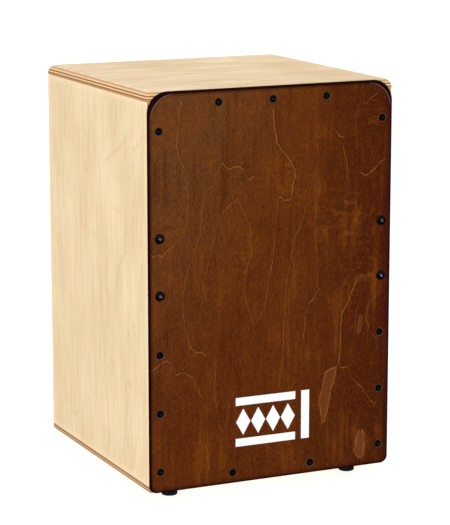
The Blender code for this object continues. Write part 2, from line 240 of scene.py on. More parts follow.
class Graph:
    """A material under construction. Every value is a socket or a number; places are in mm."""

    def __init__(self, name, **constants):
        self.material = bpy.data.materials.new(name)
        self.material.use_nodes = True
        self.tree = self.material.node_tree
        self.shader = self.tree.nodes["Principled BSDF"]
        for socket, value in constants.items():
            self.shader.inputs[socket.replace("_", " ")].default_value = value
        place = self.node("ShaderNodeTexCoord").outputs["Object"]
        split = self.node("ShaderNodeSeparateXYZ", Vector=place)
        self.x, self.y, self.z = [self.times(output, 1 / MM) for output in split.outputs]
        self.colour = None                      # what has been painted so far

    def node(self, kind, settings=None, **inputs):
        node = self.tree.nodes.new(kind)
        for key, value in (settings or {}).items():
            setattr(node, key, value)
        for key, value in inputs.items():
            self.feed(node.inputs[key.replace("_", " ")], value)
        return node

    def feed(self, socket, value):
        if isinstance(value, bpy.types.NodeSocket):
            self.tree.links.new(value, socket)
        else:
            socket.default_value = value

    def math(self, operation, *values, clamp=False):
        node = self.node("ShaderNodeMath", {"operation": operation, "use_clamp": clamp})
        for socket, value in zip(node.inputs, values):
            self.feed(socket, value)
        return node.outputs[0]

    def plus(self, first, second):
        return self.math("ADD", first, second)

    def minus(self, first, second):
        return self.math("SUBTRACT", first, second)

    def times(self, first, second):
        return self.math("MULTIPLY", first, second)

    def most(self, first, second):
        return self.math("MAXIMUM", first, second)

    def away(self, value, centre=0.0):
        """How far a value is from a centre, on either side."""
        return self.math("ABSOLUTE", self.minus(value, centre))

    def scaled(self, value, factor, offset=0.0):
        return self.math("MULTIPLY_ADD", value, factor, offset)

    def noise(self, across, fine, along, coarse, depth=0.0, detail=2.0, roughness=0.5,
              distortion=0.0):
        """Soft noise, with one scale for across and another for along."""
        place = self.node("ShaderNodeCombineXYZ", X=self.times(across, fine),
                          Y=self.times(along, coarse), Z=depth).outputs[0]
        return self.node("ShaderNodeTexNoise", Vector=place, Scale=1.0, Detail=detail,
                         Roughness=roughness, Distortion=distortion).outputs["Fac"]

    def ramp(self, value, low, high, out_low=0.0, out_high=1.0):
        node = self.node("ShaderNodeMapRange", {"interpolation_type": "SMOOTHSTEP"})
        for socket, item in zip(node.inputs, (value, low, high, out_low, out_high)):
            self.feed(socket, item)
        return node.outputs[0]

    def mix(self, factor, first, second):
        node = self.node("ShaderNodeMix", {"data_type": "RGBA"})
        for index, value in ((0, factor), (6, first), (7, second)):
            self.feed(node.inputs[index], value)
        return node.outputs[2]

    def paint(self, factor, shade):
        self.colour = self.mix(factor, self.colour, shade)

    def curve(self, value, points):
        """A broken line through points of 0 to 1, read at value."""
        node = self.node("ShaderNodeFloatCurve", Value=value)
        line = node.mapping.curves[0]
        while len(line.points) < len(points):
            line.points.new(0.5, 0.5)
        for knot, (place, height) in zip(line.points, points):
            knot.location = (place, height)
            knot.handle_type = "VECTOR"
        node.mapping.update()
        return node.outputs[0]

    def knotted(self, run, knots):
        """A broken line through (place, height) knots, read at run."""
        start, end = knots[0][0], knots[-1][0]
        least = min(height for _, height in knots)
        span = max(max(height for _, height in knots) - least, 1.0)
        share = self.math("MULTIPLY", self.minus(run, start), 1 / (end - start), clamp=True)
        points = [((place - start) / (end - start), (height - least) / span)
                  for place, height in knots]
        return self.scaled(self.curve(share, points), span, least)

    def within(self, run, start, end, soft=2.0):
        """1 between two places, fading to 0 outside them."""
        before = self.ramp(run, start - soft / 2, start + soft / 2)
        return self.times(before, self.ramp(run, end - soft / 2, end + soft / 2, 1.0, 0.0))

    def shaken(self, run, rise, seed, reach):
        """A coordinate with a ragged edge along run."""
        ragged = self.noise(run, 0.2, rise, 0.02, seed, detail=5.0, roughness=0.75)
        return self.plus(rise, self.scaled(ragged, reach, -reach / 2))

    def figure(self, across, along, lines, seed, reach=5.0):
        """Figure lines through listed knots: how strongly each point lies on one, and in a line's shade."""
        ragged = {"up": self.shaken(along, across, seed, reach),
                  "across": self.shaken(across, along, seed + 4.0, reach)}
        line_total, shade_total = 0.0, 0.0
        for kind, knots, level in lines:
            run = along if kind == "up" else across
            off = self.minus(ragged[kind], self.knotted(run, knots))
            within = self.within(run, knots[0][0], knots[-1][0])
            line = self.ramp(self.away(off), 0.15, 0.85, level, 0.0)
            shade = self.times(self.ramp(off, 0.2, 0.9, 0.0, level),
                               self.ramp(off, 0.9, 6.0, 1.0, 0.0))
            line_total = self.most(line_total, self.times(line, within))
            shade_total = self.most(shade_total, self.times(shade, within))
        return line_total, shade_total

    def slivers(self, across, up, slivers, seed):
        """Paler slivers between two ragged edges, and the bright line around them."""
        ragged = self.shaken(up, across, seed, 4.0)
        fill_total, edge_total = 0.0, 0.0
        for rows, level in slivers:
            left = self.knotted(up, [(height, low) for height, low, _ in rows])
            right = self.knotted(up, [(height, high) for height, _, high in rows])
            within = self.within(up, rows[0][0], rows[-1][0])
            depth = self.math("MINIMUM", self.minus(ragged, left), self.minus(right, ragged))
            fill = self.ramp(depth, -0.3, 0.3, 0.0, level)
            edge = self.ramp(self.away(depth), 0.3, 1.0, level, 0.0)
            fill_total = self.most(fill_total, self.times(fill, within))
            edge_total = self.most(edge_total, self.times(edge, within))
        return fill_total, edge_total

    def spots(self, across, up, spots):
        """Soft round patches: 1 in the middle of each, fading to 0 at its edge."""
        total = 0.0
        for (x, z), half_width, half_height in spots:
            side = self.scaled(across, 1 / half_width, -x / half_width)
            rise = self.scaled(up, 1 / half_height, -z / half_height)
            square = self.plus(self.times(side, side), self.times(rise, rise))
            total = self.most(total, self.ramp(square, 0.1, 1.0, 1.0, 0.0))
        return total

    def bump(self, height, distance, strength):
        node = self.node("ShaderNodeBump", Height=height, Distance=distance, Strength=strength)
        self.feed(self.shader.inputs["Normal"], node.outputs[0])

    def inside(self, across, up, half_width, half_height, top_radius, bottom_radius):
        """How far a point lies inside a rectangle with rounded corners about the origin."""
        radius = self.ramp(up, -1.0, 1.0, bottom_radius, top_radius)
        reach = [self.plus(self.minus(self.away(value), half), radius)
                 for value, half in ((across, half_width), (up, half_height))]
        corner = [self.math("POWER", self.most(value, 0.0), 2.0) for value in reach]
        round_part = self.math("SQRT", self.plus(*corner))
        flat_part = self.math("MINIMUM", self.most(*reach), 0.0)
        return self.minus(self.minus(radius, round_part), flat_part)

    def done(self, roughness):
        self.feed(self.shader.inputs["Base Color"], self.colour)
        self.feed(self.shader.inputs["Roughness"], roughness)
        return self.material


def birch_face(g, across, along, seed, figure, depth):
    """Pale rotary-cut birch: fine fibres, soft streaks, and faint pointed figure lines."""
    streak = g.noise(across, 0.22, along, 0.006, seed + 11.0, detail=5.0, roughness=0.6,
                     distortion=0.15)
    cloud = g.noise(across, 0.02, along, 0.008, seed + 17.0, detail=3.0)
    fibre = g.noise(across, 1.1, along, 0.03, seed + 23.0, detail=3.0, roughness=0.65)
    pore = g.noise(across, 0.45, along, 0.012, seed + 29.0, detail=3.0, distortion=0.3)
    tone = g.plus(g.scaled(streak, 0.45), g.scaled(cloud, 0.55))
    g.colour = srgb(245, 224, 184)
    g.paint(g.scaled(g.ramp(tone, 0.36, 0.62), 0.85 * depth), srgb(212, 176, 120))
    g.paint(g.ramp(fibre, 0.42, 0.75, 0.0, 0.5 * depth), srgb(212, 170, 112))
    g.paint(g.ramp(pore, 0.54, 0.66, 0.0, 0.7 * depth), srgb(224, 166, 100))
    g.paint(g.ramp(pore, 0.34, 0.46, 0.6 * depth, 0.0), srgb(250, 234, 198))
    bend = g.noise(across, 0.035, along, 0.009, seed + 37.0, detail=3.0, roughness=0.45)
    ring = g.math("SINE", g.plus(g.scaled(across, 0.75), g.scaled(bend, 44.0)))
    faint = g.noise(across, 0.05, along, 0.02, seed + 41.0)
    ring = g.times(g.ramp(ring, 0.55, 1.0), g.ramp(faint, 0.35, 0.62, 0.12, 0.62))
    g.paint(g.scaled(ring, 0.5 * depth + 0.2), srgb(214, 164, 108))
    if figure:
        line, shade = g.figure(across, along, figure, seed, 8.0)
        g.paint(g.scaled(g.most(line, g.scaled(shade, 0.7)), 0.38), srgb(212, 158, 98))
    return fibre


def plywood(name, layer, grain, low, high, plies, seed, figure=None, joints=(), depth=0.42,
            sanded=()):
    """Plywood with its plies stacked along one axis, and its face grain along another.

    joints are darker bands (place, reach in mm, colour) near the outer edges: on the seat, beside its lower face
    where the sides meet it; on the floor board, painted shade along its edges.
    depth is how strongly the face grain shows; sanded gives (axis, middle, half) of a face whose ends are painted
    paler, as painted light.
    """
    g = Graph(name, Specular_IOR_Level=0.3, Coat_Weight=0.1, Coat_Roughness=0.35)
    axes = {"x": g.x, "y": g.y, "z": g.z}
    across = axes[next(axis for axis in "xyz" if axis not in (layer, grain))]
    along, through = axes[grain], axes[layer]
    fibre = birch_face(g, across, along, seed, figure, depth)
    # painted light: the face is painted paler towards its ends
    for axis, middle, half in sanded:
        off = g.away(axes[axis], middle / MM)
        g.paint(g.ramp(off, half / MM - 9.0, half / MM - 1.0, 0.0, 0.55), srgb(255, 226, 188))

    per_ply = plies / ((high - low) / MM)
    ripple = g.noise(across, 0.05, along, 0.05, seed + 31.0)
    count = g.plus(g.scaled(through, per_ply, -low / MM * per_ply), g.scaled(ripple, 0.24, -0.12))
    wave = g.math("SINE", g.scaled(count, math.pi))
    inner = g.ramp(g.away(count, plies / 2), plies / 2 - 1.1, plies / 2 - 0.9, 1.0, 0.0)
    dark = g.times(g.ramp(wave, -0.45, 0.15, 1.0, 0.0), inner)
    dark = g.times(dark, g.ramp(count, plies - 2.2, plies - 1.9, 1.0, 0.6))
    fleck = g.noise(across, 1.1, along, 1.1, g.scaled(through, 3.0), detail=3.0, roughness=0.7)
    g.paint(inner, g.mix(fleck, srgb(246, 210, 162), srgb(228, 182, 128)))
    g.paint(dark, g.mix(fleck, srgb(172, 112, 60), srgb(120, 68, 32)))

    if joints:                              # they show near the outer edges only
        side = g.minus(g.away(g.x), TOP_HIGH.x / MM)
        end = g.minus(g.away(g.y, (TOP_LOW.y + TOP_HIGH.y) / 2 / MM),
                      (TOP_HIGH.y - TOP_LOW.y) / 2 / MM)
        outside = g.ramp(g.most(side, end), -8.5, -6.5, 0.0, 0.85)
    # each band darkens the plies near one face: on the seat beside the seam, on the floor board as painted shade
    for joint, reach, shade in joints:
        dark_band = g.ramp(g.away(through, joint / MM), reach * 0.3, reach, 1.0, 0.0)
        g.paint(g.times(dark_band, outside), shade)
    g.bump(g.plus(fibre, g.scaled(dark, -1.2)), 0.05 * MM, 0.6)
    return g.done(g.ramp(fibre, 0.3, 0.7, 0.40, 0.52))


# Figure lines of the stained plate, in mm from the middle of its lower edge. "up" lines give x at
# rising heights and "across" lines give heights at rising x; the last value is their strength.
FIGURE = [
    # the tall pointed arch left of the middle, its inner arch, and the V below
    ("up", [(162, -99), (184, -107), (211, -109), (237, -106), (264, -96), (287, -87), (311, -86),
            (334, -81)], 0.4),
    ("across", [(-101, 163), (-97, 158), (-92, 155), (-86, 154), (-81, 150)], 0.9),
    ("across", [(-81, 334), (-77, 336), (-73, 338), (-70, 350), (-65, 358), (-61, 363), (-58, 359),
                (-54, 355), (-46, 358), (-40, 357), (-35, 353), (-30, 342), (-23, 346)], 0.85),
    ("up", [(191, -74), (211, -81), (231, -84), (257, -77), (287, -70), (307, -62)], 0.3),
    ("across", [(-62, 307), (-56, 313), (-52, 317), (-47, 318), (-43, 322), (-40, 317), (-36, 307)],
     0.8),
    ("up", [(179, -22), (190, -27), (204, -32), (217, -35), (231, -34), (248, -30), (264, -25),
            (287, -27), (307, -35)], 0.4),
    ("up", [(179, -22), (186, -16), (197, -10), (212, -7), (231, -4), (257, 1), (287, 4), (317, 6)],
     0.42),
    ("across", [(5, 317), (8, 321), (11, 320), (14, 316), (20, 317), (24, 321)], 0.85),
    ("up", [(319, 23), (331, 24), (342, 27), (349, 27), (357, 23), (364, 19), (373, 10), (381, 5),
            (391, 3), (401, 1), (419, 0)], 0.85),
    # the long lines right of the middle
    ("up", [(104, 9), (121, 10), (137, 13), (171, 14), (194, 15), (211, 16), (230, 18), (244, 21),
            (260, 25), (274, 28), (286, 34), (297, 38), (309, 43)], 0.42),
    ("up", [(214, 56), (236, 56), (257, 55), (270, 53), (284, 53), (298, 53), (311, 54), (328, 59)],
     0.32),
    ("up", [(157, 39), (171, 40), (184, 41), (192, 45)], 0.35),
    ("across", [(43, 192), (47, 199), (51, 202), (54, 208), (58, 213)], 0.95),
    # the tree of lines at the lower right
    ("up", [(122, 84), (133, 85), (154, 86), (170, 86), (181, 87), (188, 91), (197, 96), (208, 101),
            (217, 105), (224, 113)], 0.85),
    ("across", [(67, 116), (74, 119), (81, 120), (84, 124)], 0.9),
    ("across", [(83, 123), (88, 118), (94, 120), (97, 117), (99, 107), (104, 103), (109, 97),
                (114, 93), (118, 87), (123, 80), (128, 74), (131, 73), (134, 76), (137, 86),
                (141, 97), (144, 104)], 0.9),
    ("up", [(146, 134), (152, 128), (162, 122), (172, 119), (181, 119), (190, 122), (198, 129),
            (204, 142)], 0.38),
    ("up", [(150, 110), (163, 105), (178, 104), (190, 109)], 0.3),
    # lines that come in from the left edge
    ("across", [(-147, 139), (-141, 143), (-135, 147), (-129, 149), (-124, 147), (-121, 144),
                (-119, 137), (-117, 132), (-112, 134), (-107, 134), (-102, 130), (-98, 128),
                (-94, 118), (-90, 111), (-86, 104)], 0.85),
    ("across", [(-147, 268), (-143, 266), (-138, 268), (-132, 265), (-128, 270), (-124, 274)],
     0.85),
    ("across", [(-124, 274), (-118, 279), (-112, 284), (-108, 291), (-104, 298)], 0.45),
    ("up", [(297, -104), (312, -103), (327, -102), (347, -103)], 0.35),
    ("up", [(361, -107), (372, -113), (384, -115), (397, -114), (411, -113), (422, -112),
            (433, -109)], 0.6),
    # short strokes near the top and the right edge
    ("across", [(108, 342), (113, 338), (118, 338), (124, 342), (129, 346), (135, 352), (141, 355)],
     0.85),
    ("up", [(327, 96), (341, 93), (354, 91), (366, 88), (376, 86)], 0.45),
    ("across", [(76, 392), (80, 386), (83, 383), (87, 383)], 0.8),
    ("across", [(117, 419), (121, 424), (126, 427), (131, 431)], 0.5),
    ("across", [(-43, 431), (-37, 425), (-32, 421), (-27, 416)], 0.35),
    # the lower edge
    ("up", [(62, -60), (68, -65), (81, -67), (97, -69), (111, -71), (144, -69)], 0.28),
    ("up", [(62, -60), (66, -57), (76, -55), (97, -52), (107, -46)], 0.4),
    ("across", [(-17, 44), (-8, 39), (4, 31), (14, 25), (31, 14)], 0.4),
    ("up", [(8, -82), (22, -79), (37, -79), (51, -82)], 0.4),
]

# Faint figure in the seat: each line gives places front to rear at rising places left to right
SEAT_FIGURE = [
    ("up", [(-20, -96), (10, -80), (40, -64), (80, -58), (110, -70), (140, -92)], 0.9),
    ("up", [(-10, -120), (30, -100), (70, -88), (105, -98), (130, -118)], 0.9),
    ("up", [(-40, -66), (0, -44), (50, -32), (100, -36), (142, -52)], 0.7),
    ("up", [(-120, 6), (-60, 22), (0, 30), (70, 18), (130, 26)], 0.6),
    ("up", [(-140, 66), (-80, 78), (-10, 74), (60, 86), (120, 82)], 0.6),
    ("up", [(-130, -46), (-90, -34), (-40, -38), (-10, -26)], 0.6),
    ("up", [(-130, -112), (-90, -100), (-50, -104), (-24, -120)], 0.6),
    ("up", [(-90, 118), (-30, 108), (40, 120), (100, 112)], 0.5),
]

# Paler slivers of wood: heights, then the left and the right edge at each, and how much paler
SLIVERS = [
    ([(57, 64, 66), (66, 62, 68), (77, 60, 71), (84, 58, 72), (95, 62, 74), (101, 64, 76),
      (108, 65, 79), (116, 67, 80), (121, 76, 82)], 0.62),
    ([(9, 112, 114), (14, 107, 117), (20, 104, 117), (26, 107, 118), (33, 107, 117), (38, 109, 117),
      (43, 111, 115)], 0.75),
    ([(158, 109, 111), (165, 108, 113), (172, 109, 113), (178, 110, 112)], 0.4),
]

# Patches where the fibres curl: centre, half width, half height
CURLS = [((84, 288), 58, 44), ((112, 232), 40, 34), ((-34, 258), 20, 46), ((24, 340), 34, 40),
         ((-120, 296), 26, 20), ((122, 408), 34, 34)]

# Faint arcs in the birch of the sides: heights from the floor, places from the drum's middle
SIDE_FIGURE = [
    ("across", [(-90, 400), (-78, 392), (-60, 382), (-38, 372), (-22, 364)], 0.8),
    ("up", [(345, 29), (372, 26), (388, 28), (396, 33), (400, 41)], 0.9),
    ("up", [(395, 92), (412, 84), (430, 78), (446, 74)], 0.9),
    ("across", [(-136, 408), (-126, 398), (-114, 390), (-104, 390)], 0.8),
    ("across", [(-112, 318), (-102, 305), (-92, 296), (-84, 292)], 0.6),
    ("up", [(222, -56), (240, -60), (256, -68), (268, -78), (274, -88)], 0.8),
    ("across", [(-124, 150), (-120, 168), (-112, 182), (-100, 196), (-86, 208)], 0.8),
    ("up", [(40, -34), (70, -30), (100, -28), (130, -32), (144, -40)], 0.9),
    ("up", [(30, -104), (50, -108), (70, -114)], 0.7),
    ("up", [(36, -74), (60, -78), (84, -84), (104, -88)], 0.7),
    ("across", [(66, 52), (76, 48), (88, 50)], 0.8),
    ("up", [(196, 68), (214, 70), (236, 66), (262, 66)], 0.6),
    ("up", [(150, 106), (170, 102), (196, 110)], 0.5),
]


def stained_plate():
    """Brown-stained veneer with vertical fibres, golden figure lines and a nearly black rim, with a painted sheen
    at the upper left and a painted highlight line inside the upper corners.
    """
    g = Graph("brown_stained_veneer", Specular_IOR_Level=0.03)
    across = g.x
    up = g.scaled(g.z, 1.0, -PLATE_LOW.z / MM)
    half_width = (PLATE_HIGH.x - PLATE_LOW.x) / 2 / MM
    half_height = (PLATE_HIGH.z - PLATE_LOW.z) / 2 / MM
    top = 2 * half_height

    # broad tones: a painted sheen makes the upper left lighter and greyer; darker towards the bottom and the right
    # painted sheen: the paler, greyer colour at the upper left stands in for a reflected softbox
    sheen_slope = g.plus(g.scaled(across, 0.0026), g.scaled(up, -0.0011, 0.74))
    g.colour = srgb(98, 57, 26)
    g.paint(g.ramp(sheen_slope, 0.0, 0.45), srgb(96, 45, 8))
    g.paint(g.ramp(up, 41.67, 416.67, 0.6, 0.0), srgb(84, 33, 6))
    g.paint(g.ramp(across, 20.0, 125.0), srgb(74, 26, 4))

    # streaks, curled patches, fibres and flecks
    streak = g.noise(across, 0.16, up, 0.010, 5.0, detail=4.0, roughness=0.6)
    cloud = g.noise(across, 0.03, up, 0.016, 9.0, detail=3.0)
    fibre = g.noise(across, 1.2, up, 0.06, 1.0, detail=4.0, roughness=0.7)
    fleck = g.noise(across, 1.1, up, 0.22, 13.0, detail=3.0, roughness=0.7)
    curl = g.noise(across, 0.07, up, 0.13, 17.0, detail=5.0, roughness=0.62, distortion=0.9)
    curled = g.spots(across, up, CURLS)
    tone = g.plus(g.scaled(streak, 0.5), g.scaled(cloud, 0.5))
    g.paint(g.ramp(tone, 0.50, 0.66, 0.0, 0.8), srgb(112, 57, 9))
    g.paint(g.ramp(tone, 0.35, 0.50, 0.6, 0.0), srgb(72, 28, 4))
    g.paint(g.times(g.ramp(curl, 0.50, 0.72, 0.0, 0.42), curled), srgb(134, 78, 20))
    g.paint(g.times(g.ramp(curl, 0.32, 0.50, 0.4, 0.0), curled), srgb(60, 22, 4))
    g.paint(g.ramp(fibre, 0.30, 0.52, 0.55, 0.0), srgb(56, 19, 3))
    g.paint(g.ramp(fibre, 0.52, 0.76, 0.0, 0.5), srgb(138, 78, 20))
    g.paint(g.ramp(fleck, 0.34, 0.48, 0.55, 0.0), srgb(50, 15, 2))
    g.paint(g.ramp(fleck, 0.54, 0.70, 0.0, 0.45), srgb(140, 82, 23))

    # figure lines and pale slivers, on the front only
    line, shade = g.figure(across, up, FIGURE, 21.0)
    fill, edge = g.slivers(across, up, SLIVERS, 27.0)
    front = g.ramp(g.y, PLATE_HIGH.y / MM - 0.6, PLATE_HIGH.y / MM - 0.3, 1.0, 0.0)
    broken = g.ramp(g.noise(across, 0.11, up, 0.11, 29.0, detail=3.0), 0.34, 0.60, 0.3, 1.0)
    line = g.times(g.most(line, edge), g.times(broken, front))
    g.paint(g.scaled(g.times(shade, front), 0.35), srgb(66, 26, 5))
    g.paint(g.scaled(g.times(fill, front), 0.6), g.mix(fleck, srgb(150, 92, 44), srgb(92, 44, 14)))
    g.paint(g.scaled(line, 0.8), srgb(158, 100, 48))

    # warmer right and lower edges, the dark rim, and a painted highlight line inside its upper corners
    from_right = g.minus(half_width, across)
    warm = g.most(g.ramp(from_right, 1.0, 20.0, 0.8, 0.0), g.ramp(up, 1.0, 9.0, 0.4, 0.0))
    g.paint(warm, srgb(58, 12, 7))
    inside = g.inside(across, g.scaled(up, 1.0, -half_height), half_width - RIM_WIDTH / MM,
                      half_height - RIM_WIDTH / MM, TOP_CORNER_INNER / MM, BOTTOM_CORNER_INNER / MM)
    widened = g.minus(inside, g.ramp(up, top - 12.0, top - 4.0, 0.0, 0.7))
    g.paint(g.ramp(widened, 0.0, 3.0, 0.55, 0.0), srgb(50, 13, 3))
    g.paint(g.ramp(widened, -1.3, 0.3, 1.0, 0.0), srgb(24, 2, 1))
    # painted highlight: a pale grey line where the rounded rim meets the face at the two upper corners
    corner_highlight = g.ramp(g.away(inside, 0.5), 0.15, 0.7, 0.5, 0.0)
    corner = half_width + top
    upper_corner = g.ramp(g.plus(g.away(across), up), corner - 34.0, corner - 24.0)
    g.paint(g.times(corner_highlight, upper_corner), srgb(136, 114, 112))
    g.bump(g.plus(fibre, g.scaled(line, -0.5)), 0.06 * MM, 0.55)
    return g.done(g.ramp(fibre, 0.3, 0.7, 0.34, 0.46))


def softwood(name, grain, seed):
    """Planed pine or spruce, with growth rings along the grain."""
    g = Graph(name, Specular_IOR_Level=0.25)
    axes = {"x": g.x, "y": g.y, "z": g.z}
    first, second = [axes[axis] for axis in "xyz" if axis != grain]
    along = axes[grain]
    bend = g.noise(first, 0.03, along, 0.006, seed)
    across = g.plus(g.scaled(first, 1.9), g.plus(g.scaled(second, 0.7), g.scaled(bend, 22.0)))
    fibre = g.noise(first, 2.0, along, 0.06, g.scaled(second, 2.0), detail=3.0)
    g.colour = srgb(229, 190, 132)
    g.paint(g.ramp(g.math("SINE", across), -0.2, 0.9), srgb(196, 142, 82))
    g.paint(g.ramp(fibre, 0.4, 0.7, 0.0, 0.4), srgb(176, 124, 72))
    g.bump(fibre, 0.1 * MM, 0.6)
    return g.done(g.ramp(fibre, 0.3, 0.7, 0.55, 0.72))


def metal(name, base, spotted, low, high, metallic, scale, **constants):
    """Plated or drawn metal: fine turned marks, spots of a second colour, and a roughness range."""
    g = Graph(name, Metallic=metallic, **constants)
    mark = g.noise(g.x, scale, g.y, scale, g.scaled(g.z, scale * 2), detail=4.0, roughness=0.65)
    g.colour = base
    g.paint(g.ramp(g.noise(g.x, 1.0, g.y, 1.0, g.z), 0.52, 0.75, 0.0, 0.5), spotted)
    g.bump(mark, 0.02 * MM, 0.35)
    return g.done(g.ramp(mark, 0.3, 0.7, low, high))


def rubber():
    g = Graph("moulded_rubber", Specular_IOR_Level=0.35)
    skin = g.noise(g.x, 3.0, g.y, 3.0, g.scaled(g.z, 3.0), detail=3.0)
    dust = g.noise(g.x, 0.25, g.y, 0.25, g.scaled(g.z, 0.25), detail=3.0)
    g.colour = srgb(14, 14, 15)
    g.paint(g.ramp(dust, 0.45, 0.75, 0.0, 0.5), srgb(34, 33, 32))
    g.bump(skin, 0.08 * MM, 0.5)
    return g.done(g.ramp(dust, 0.3, 0.7, 0.62, 0.8))


def countersink():
    """The compressed, polished wood of a screw hole's mouth."""
    g = Graph("countersink_wall", Specular_IOR_Level=0.12)
    grain = g.noise(g.x, 1.5, g.z, 0.4, detail=3.0)
    g.colour = srgb(92, 66, 42)
    g.paint(g.ramp(grain, 0.35, 0.65), srgb(66, 42, 24))
    g.bump(grain, 0.05 * MM, 0.4)
    return g.done(g.ramp(grain, 0.3, 0.7, 0.35, 0.5))


def print_white():
    g = Graph("white_screen_print", Specular_IOR_Level=0.4)
    weave = g.noise(g.x, 2.2, g.z, 2.2, detail=3.0, roughness=0.6)
    g.colour = srgb(254, 254, 254)
    g.paint(g.ramp(weave, 0.35, 0.7), srgb(240, 239, 237))
    g.bump(weave, 0.03 * MM, 0.4)
    return g.done(g.ramp(weave, 0.3, 0.7, 0.38, 0.5))


# ---------- body panels


def make_panels():
    """The five birch panels: rounded long edges, eased arrises, plies that show on every edge."""
    outer = TOP_HIGH.x - ARRIS

    def long_top(edge):
        return all(abs(vert.co.x) > outer and vert.co.z > TOP_HIGH.z - ARRIS
                   for vert in edge.verts)

    def long_bottom(edge):
        return all(abs(vert.co.x) > outer and vert.co.z < BOTTOM_LOW.z + ARRIS
                   for vert in edge.verts)

    material = plywood("top_plywood", "z", "x", TOP_LOW.z, TOP_HIGH.z, TOP_PLIES, 2.0, SEAT_FIGURE,
                       [(TOP_LOW.z, 2.4, srgb(184, 130, 78))], 1.0)
    mesh = eased_box("seat_top", TOP_LOW, TOP_HIGH, round_edges=long_top, radius=TOP_EDGE_RADIUS)
    top = new_object("seat_top", mesh, material)
    # painted shade: the floor board's edge is darkened at its upper face, over the seam where the sides meet it,
    # and at its lower face near the floor
    painted_edge_shade = [(BOTTOM_HIGH.z, 3.4, srgb(156, 106, 62)), (BOTTOM_LOW.z, 3.6, srgb(160, 126, 92))]
    material = plywood("bottom_plywood", "z", "x", BOTTOM_LOW.z, BOTTOM_HIGH.z, BOTTOM_PLIES, 47.0,
                       joints=painted_edge_shade)
    mesh = eased_box("floor_board", BOTTOM_LOW, BOTTOM_HIGH, round_edges=long_bottom,
                     radius=BOTTOM_EDGE_RADIUS)
    bottom = new_object("floor_board", mesh, material)
    pieces = [(top, "top_panel"), (bottom, "bottom_panel")]
    closing = 0.2 * MM                      # the visible panels meet more closely than the solids
    for side, seed in (("left", 91.0), ("right", 133.0)):
        node = f"{side}_side_panel"
        low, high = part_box(node)
        middle, half = (low + high) / 2, (high - low) / 2
        # painted light: each side wall is painted paler towards its ends
        sanded = [("y", middle.y, half.y), ("z", middle.z, half.z)]
        material = plywood(f"{side}_side_plywood", "x", "z", low.x, high.x, SIDE_PLIES, seed,
                           SIDE_FIGURE, sanded=sanded)
        gap = Vector((0, 0, closing))
        wall = eased_box(f"{side}_wall", low - gap, high + gap)
        pieces.append((new_object(f"{side}_wall", wall, material), node))
    back_material = plywood("back_plywood", "y", "z", BACK_LOW.y, BACK_HIGH.y, BACK_PLIES, 171.0)
    spread = Vector((closing, 0, closing))
    back = new_object("back_board", eased_box("back_board", BACK_LOW - spread, BACK_HIGH + spread),
                      back_material)
    pieces.append((cut(back, sound_hole_cutter()), "back_panel"))
    for obj, node in pieces:
        weight_normals(obj)
        finish_piece(obj, "drum_body", "birch_plywood", node)


def sound_hole_cutter():
    """A spool that cuts the sound hole and rounds over both of its edges."""
    centre = Vector((0, (BACK_LOW.y + BACK_HIGH.y) / 2, SOUND_HOLE_Z))
    half = (BACK_HIGH.y - BACK_LOW.y) / 2
    steps = 6
    flare = []
    for step in range(steps + 1):
        angle = math.pi / 2 * step / steps
        flare.append((SOUND_HOLE_RADIUS + SOUND_HOLE_ROUND * (1 - math.sin(angle)),
                      half - SOUND_HOLE_ROUND * (1 - math.cos(angle))))
    reach = half + 2 * MM
    wide = SOUND_HOLE_RADIUS + SOUND_HOLE_ROUND
    upper = [(0, reach), (wide, reach)] + flare
    lower = [(radius, -height) for radius, height in reversed(upper)]
    mesh = lathe("sound_hole_cutter", upper + lower, sides=128)
    matrix = Matrix.Translation(centre) @ TO_FRONT
    return new_object("sound_hole_cutter", mesh, None, matrix)


def sound_hole_height():
    """The middle of the sound hole, from the record's opening."""
    openings = {item["name"]: item["box_m"] for item in frame["record"]["physics"]["openings"]}
    low, high = openings["sound_hole"]
    return (low[2] + high[2]) / 2


SOUND_HOLE_Z = sound_hole_height()


# ---------- striking plate


def plate_outline(inset, top_radius, bottom_radius, depth):
    """The plate's outline in from its edge, as points at one depth."""
    middle = (PLATE_LOW.z + PLATE_HIGH.z) / 2
    half_width = (PLATE_HIGH.x - PLATE_LOW.x) / 2 - inset
    half_height = (PLATE_HIGH.z - PLATE_LOW.z) / 2 - inset
    radii = (top_radius, top_radius, bottom_radius, bottom_radius)
    return [Vector((x, depth, middle + z))
            for x, z in rounded_rectangle(half_width, half_height, radii, 14)]


